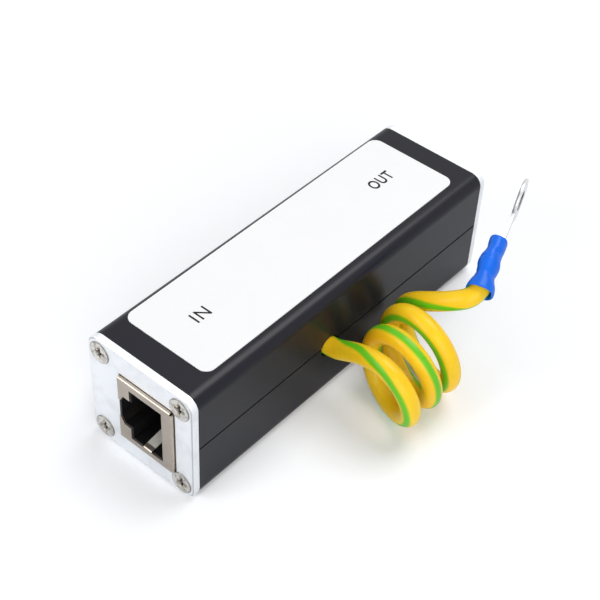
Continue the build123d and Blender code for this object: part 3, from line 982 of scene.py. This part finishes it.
            # a dent falls off as a bell both along the sleeve and round it
            press += depth * shown[:, None] * np.exp(
                -(((distance[:, None] - place) / reach) ** 2) - (away[None, :] / spread) ** 2
            )
        power = 2.0 / (2.0 + squared[:, None])
        spread_across = np.sign(np.cos(angle)) * np.abs(np.cos(angle)) ** power
        spread_beside = np.sign(np.sin(angle)) * np.abs(np.sin(angle)) ** power
        across = ((half_across - inset)[:, None] - press) * spread_across + pushed[:, None]
        beside = ((half_beside - inset)[:, None] - press) * spread_beside
        points = self.placed(across, beside, distance[:, None])
        faces = grid_faces(len(distance), self.sides, True, True)[:, ::-1]
        return put_mesh("terminal_sleeve_vinyl", points, faces.tolist())

    def ring_outline(self, angle: np.ndarray) -> np.ndarray:
        """Give the stamped outline's distance from the hole's middle.

        The angle is measured from the neck. The outline is the softened maximum of the ring's
        radius and the neck's side, which is half its width over the angle's sine, and the neck
        ends square inside the sleeve.

        Args:
            angle: Angles in radians, from minus pi to pi.

        Returns:
            The distances, in millimetres.
        """
        ahead = np.cos(angle) > 0.0
        side = np.where(ahead, self.neck_half / np.maximum(np.abs(np.sin(angle)), 1e-3), 1e-3)
        end = (self.ring_middle - self.neck_start) / np.maximum(np.cos(angle), 1e-3)
        side = np.minimum(side, end)
        return (self.ring_radius**14 + side**14) ** (1 / 14)

    def ring(self) -> bpy.types.Object:
        """Carry a rounded rectangle round the hole, out to the stamped outline.

        Returns:
            The ring, neck and barrel.
        """
        fine = np.radians(np.linspace(-32.0, 32.0, 97))
        rest = np.radians(np.linspace(32.0, 328.0, 150)[1:-1])
        angle = np.r_[fine, rest]
        outer = self.ring_outline(wrapped(angle))
        turn = np.linspace(0.0, np.pi / 2, 6)
        top, e = self.tongue_metal / 2, self.edge_round
        # the section's four corners: the hole's and the outline's upper one, then the lower ones
        rise = np.r_[e * (1 - np.cos(turn)), e * 1.5]
        high = np.r_[top - e + e * np.sin(turn), top]
        inset = np.r_[rise, rise[::-1], rise, rise[::-1]]
        height = np.r_[high, high[::-1], -high, -high[::-1]]
        corner = len(rise)
        from_hole = np.repeat([True, False, False, True], corner)
        reach = np.where(from_hole, self.hole_radius + inset, outer[:, None] - inset)
        along = self.ring_middle - reach * np.cos(angle)[:, None]
        beside = reach * np.sin(angle)[:, None]
        # painted shade on the ring's thin sides and on the hole's wall, by edge of the section
        edge_shade = np.tile(np.repeat(self.edge_shades, corner), (len(angle), 1))
        # the points on the two flat faces get no painted shade
        edge_shade[:, [corner - 1, corner, 3 * corner - 1, 3 * corner]] = 0.0
        # the painted shade on the ring's lower edge changes round the ring and dies out at its tip and neck
        degrees, share = np.array(self.lower_edge_shade).T
        lower_edge_shade = np.interp(np.abs(wrapped(angle)), np.radians(degrees), share)
        edge_shade[:, corner:3 * corner] *= lower_edge_shade[:, None]
        ring = self.placed(self.tongue_offset + height, beside, along)
        faces = grid_faces(*reach.shape, True, True)
        barrel, barrel_faces = self.barrel()
        points = np.vstack([ring, barrel])
        every = faces.tolist() + [[point + len(ring) for point in face] for face in barrel_faces]
        marks = np.r_[edge_shade.reshape(-1), np.zeros(len(barrel))]
        rounded = np.arange(len(every)) < len(every) - 2
        return put_mesh("ring_tongue", points, every, marks={"edge": marks}, smooth=rounded)

    def barrel(self) -> tuple[np.ndarray, list[list[int]]]:
        """Draw the barrel inside the sleeve: the sleeve's oval less its wall, closed at both ends.

        Returns:
            The points, in metres, and the faces, the two ends last.
        """
        distance = np.linspace(self.barrel_start, self.neck_start + 0.25, 24)
        angle = circle(self.barrel_sides)
        half_across, half_beside, pushed = self.oval(distance)
        across = (half_across - self.wall - self.barrel_gap)[:, None] * np.cos(angle) + pushed[:, None]
        beside = (half_beside - self.wall - self.barrel_gap)[:, None] * np.sin(angle)
        points = self.placed(across, beside, distance[:, None])
        faces = grid_faces(len(distance), len(angle), False, True)[:, ::-1].tolist()
        last = (len(distance) - 1) * len(angle)
        ends = [list(range(len(angle)))[::-1], list(range(last, last + len(angle)))]
        return points, faces + ends

    def build(self) -> list[bpy.types.Object]:
        """Make the sleeve and the ring.

        Returns:
            The pieces that sit on the lead.
        """
        sleeve, ring = self.sleeve(), self.ring()
        for piece, finish, node, slot in (
            (sleeve, Finish.SLEEVE, "terminal_sleeve", "sleeve_vinyl"),
            (ring, Finish.STAMPED_TIN, "ring_terminal", "tinned_copper"),
        ):
            finish.dress(piece)
            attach(piece, BODY)
            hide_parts(node)
            LOG.info("%s made for %s", piece.name, node)
        return [sleeve, ring]


# ---- the case and what it holds


@dataclass
class Lettering:
    """The plain words that mark the label's two ends, in millimetres.

    A word is (text, middle along the case, middle across it, length, fattening of its strokes).
    """

    top: float = 25.15
    words: tuple[tuple[str, float, float, float, float], ...] = (
        ("IN", -25.15, -1.3, 3.5, 0.004), ("OUT", 25.52, -1.5, 6.05, 0.02),
    )
    letter_height: float = 2.6
    ink: float = 0.012
    spacing: float = 1.12
    turn: float = 0.22

    def word(
        self, text: str, middle_y: float, middle_x: float, length: float, weight: float
    ) -> bpy.types.Object:
        """Make one word, which reads along +Y with its tops towards -X.

        Args:
            text: The word.
            middle_y: Its middle along the case.
            middle_x: Its middle across the case.
            length: Its length along the case.
            weight: How much the strokes are fattened, as a share of the type size.

        Returns:
            The word as a thin mesh.
        """
        name = f"word_{text}"
        curve = bpy.data.curves.new(name, "FONT")
        curve.body = text
        curve.align_x, curve.align_y = "CENTER", "CENTER"
        curve.extrude = self.ink * MM / 2
        curve.resolution_u = 6
        curve.offset = weight
        curve.space_character = self.spacing
        mesh = curve_mesh(curve)
        mesh.name = name
        corners = np.array([vertex.co[:2] for vertex in mesh.vertices])
        low, high = corners.min(axis=0), corners.max(axis=0)
        wide, tall = (np.array([length, self.letter_height]) * MM / (high - low)).tolist()
        middle = (low + high) / 2
        place = (
            Matrix.Translation((middle_x * MM, middle_y * MM, (self.top + self.ink / 2) * MM))
            @ Matrix.Rotation(math.radians(90.0 + self.turn), 4, "Z")
            @ Matrix.Diagonal((wide, tall, 1.0, 1.0))
            @ Matrix.Translation((-middle[0], -middle[1], 0.0))
        )
        mesh.transform(place)
        return put(name, mesh)

    def build(self) -> None:
        """Print the words."""
        for text, *layout in self.words:
            piece = self.word(text, *layout)
            Finish.INK.dress(piece)
            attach(piece, BODY)
            LOG.info("word %s printed", text)


@dataclass
class Case(NodeGroup):
    """The extruded halves, the end plates with their screws, and the white label."""

    looks: Looks = (
        (Finish.ANODISED, ("upper_shell", "lower_shell")),
        (Finish.PLATE, ("in_end_plate", "out_end_plate")),
        (Finish.SCREW, ("in_plate_screws", "out_plate_screws")),
        (Finish.FILM, ("top_label",)),
    )


@dataclass
class Sockets(NodeGroup):
    """The two network sockets."""

    looks: Looks = (
        (Finish.NICKEL, ("in_jack_shield", "out_jack_shield")),
        (Finish.MOULDING, ("in_jack_housing", "out_jack_housing", "in_jack_insert", "out_jack_insert")),
        (Finish.GOLD, ("in_jack_contacts", "out_jack_contacts")),
    )


@dataclass
class Board(NodeGroup):
    """The circuit board, what stands on it, and the lead's run inside the case."""

    looks: Looks = (
        (Finish.LAMINATE, ("circuit_board",)),
        (Finish.CERAMIC, ("gas_tube_bodies",)),
        (Finish.TIN, ("gas_tube_electrodes", "lead_conductor")),
        (Finish.MOULDING, ("diode_array_bodies", "surge_diodes", "chip_resistors")),
        (Finish.NYLON, ("lead_tie",)),
        (Finish.INSULATION, ("lead_inside",)),
    )


# ---- the studio


@dataclass
class Studio:
    """The floor, the light and the photograph's camera.

    The camera's place is in millimetres, with its turn as azimuth, elevation and roll in
    degrees. A lamp is (name, place, size, watts), in metres.
    """

    focal: float = 83.1706
    azimuth: float = 38.789
    elevation: float = 44.186
    roll: float = 3.119
    aim: Point = (0.0, 0.0, 12.5)
    shift: Pair = (-0.412, 0.608)
    distance: float = 263.874
    sensor: float = 36.0
    clip: Pair = (0.01, 20.0)
    floor_size: float = 3.0
    floor_drop: float = 2e-5
    floor_colour: Colour = (0.9, 0.915, 0.94)
    floor_glow: float = 0.17
    world_strength: float = 0.22
    world_colour: Colour = (0.97, 0.985, 1.0)
    lamp_aim: Point = (0.0, 0.0, 0.01)
    lamps: tuple[tuple[str, Point, float, float], ...] = (
        ("high_window", (0.05, 0.38, 0.925), 0.7, 5.7),
        ("right_window", (0.72, -0.6, 0.46), 0.95, 5.2),
        ("left_window", (-0.45, -0.9, 0.42), 0.8, 4.2),
    )

    def camera(self) -> None:
        """Set the camera.

        Its back axis points from the aim at the azimuth and elevation, its right axis is level
        before the roll, and its place is the aim less the shift along its own axes.
        """
        azimuth, elevation, roll = np.radians([self.azimuth, self.elevation, self.roll]).tolist()
        level = math.cos(elevation)
        back = np.array([math.sin(azimuth) * level, -math.cos(azimuth) * level, math.sin(elevation)])
        right = np.cross([0.0, 0.0, 1.0], back)
        right /= np.linalg.norm(right)
        up = np.cross(back, right)
        right, up = right * math.cos(roll) + up * math.sin(roll), up * math.cos(roll) - right * math.sin(roll)
        place = np.array(self.aim) - right * self.shift[0] - up * self.shift[1] + back * self.distance
        data = bpy.data.cameras.new("camera")
        data.lens = self.focal
        data.sensor_width = self.sensor
        data.clip_start, data.clip_end = self.clip
        camera = put("camera", data)
        camera.matrix_world = Matrix(np.stack([right, up, back, place * MM], axis=1).tolist()).to_4x4()
        bpy.context.scene.camera = camera
        LOG.info("camera at %s mm", np.round(place, 1))

    def floor(self) -> None:
        """Lay the pale floor.

        The camera sees a little glow added to the paper, so that it is white where nothing
        shades it and the object's shadow stays.
        """
        half, low = self.floor_size / 2, -self.floor_drop
        points = np.array([[-half, -half, low], [half, -half, low], [half, half, low], [-half, half, low]])
        piece = put_mesh("floor", points, [[0, 1, 2, 3]], smooth=False)
        recipe = Recipe("floor_paper")
        seen = Field(recipe, recipe.node("ShaderNodeLightPath").outputs["Is Camera Ray"])
        paper = recipe.node("ShaderNodeBsdfDiffuse", {"Color": self.floor_colour})
        glow = recipe.node("ShaderNodeEmission", {"Strength": seen * self.floor_glow})
        both = recipe.node("ShaderNodeAddShader", {0: paper.outputs[0], 1: glow.outputs[0]})
        recipe.node("ShaderNodeOutputMaterial", {"Surface": both.outputs[0]})
        piece.data.materials.append(recipe.owner)
        LOG.info("floor laid")

    def world(self) -> None:
        """Light the scene evenly from all round, with pure white where the camera sees it."""
        recipe = Recipe("world", bpy.data.worlds.new("world"))
        bpy.context.scene.world = recipe.owner
        rays = recipe.node("ShaderNodeLightPath").outputs
        camera, glossy, through = (
            Field(recipe, rays[f"Is {kind} Ray"]) for kind in ("Camera", "Glossy", "Transmission")
        )
        seen = camera.at_least(glossy).at_least(through)
        light = {"Color": self.world_colour, "Strength": self.world_strength}
        plain = recipe.node("ShaderNodeBackground", light)
        white = recipe.node("ShaderNodeBackground", {"Color": (1.0, 1.0, 1.0), "Strength": 1.0})
        mix = recipe.node("ShaderNodeMixShader", {0: seen, 1: plain.outputs[0], 2: white.outputs[0]})
        recipe.node("ShaderNodeOutputWorld", {"Surface": mix.outputs[0]})

    def light(self) -> None:
        """Hang the soft lamps."""
        for name, place, size, watts in self.lamps:
            data = bpy.data.lights.new(name, "AREA")
            data.shape = "DISK"
            data.size = size
            data.energy = watts
            lamp = put(name, data)
            lamp.location = place
            lamp.rotation_euler = (Vector(self.lamp_aim) - Vector(place)).to_track_quat("-Z", "Y").to_euler()
            LOG.info("lamp %s hung", name)

    def build(self) -> None:
        """Set up the studio."""
        self.camera()
        self.floor()
        self.world()
        self.light()
        bpy.context.scene.view_settings.view_transform = "Standard"


def main() -> None:
    """Build the studio and every piece."""
    logging.basicConfig(level=logging.INFO, format="%(name)s: %(message)s")
    Studio().build()
    on_lead = Terminal().build()
    EarthLead().build(on_lead)
    for group in (Case(), Lettering(), Sockets(), Board()):
        group.build()


if __name__ == "__main__":
    main()
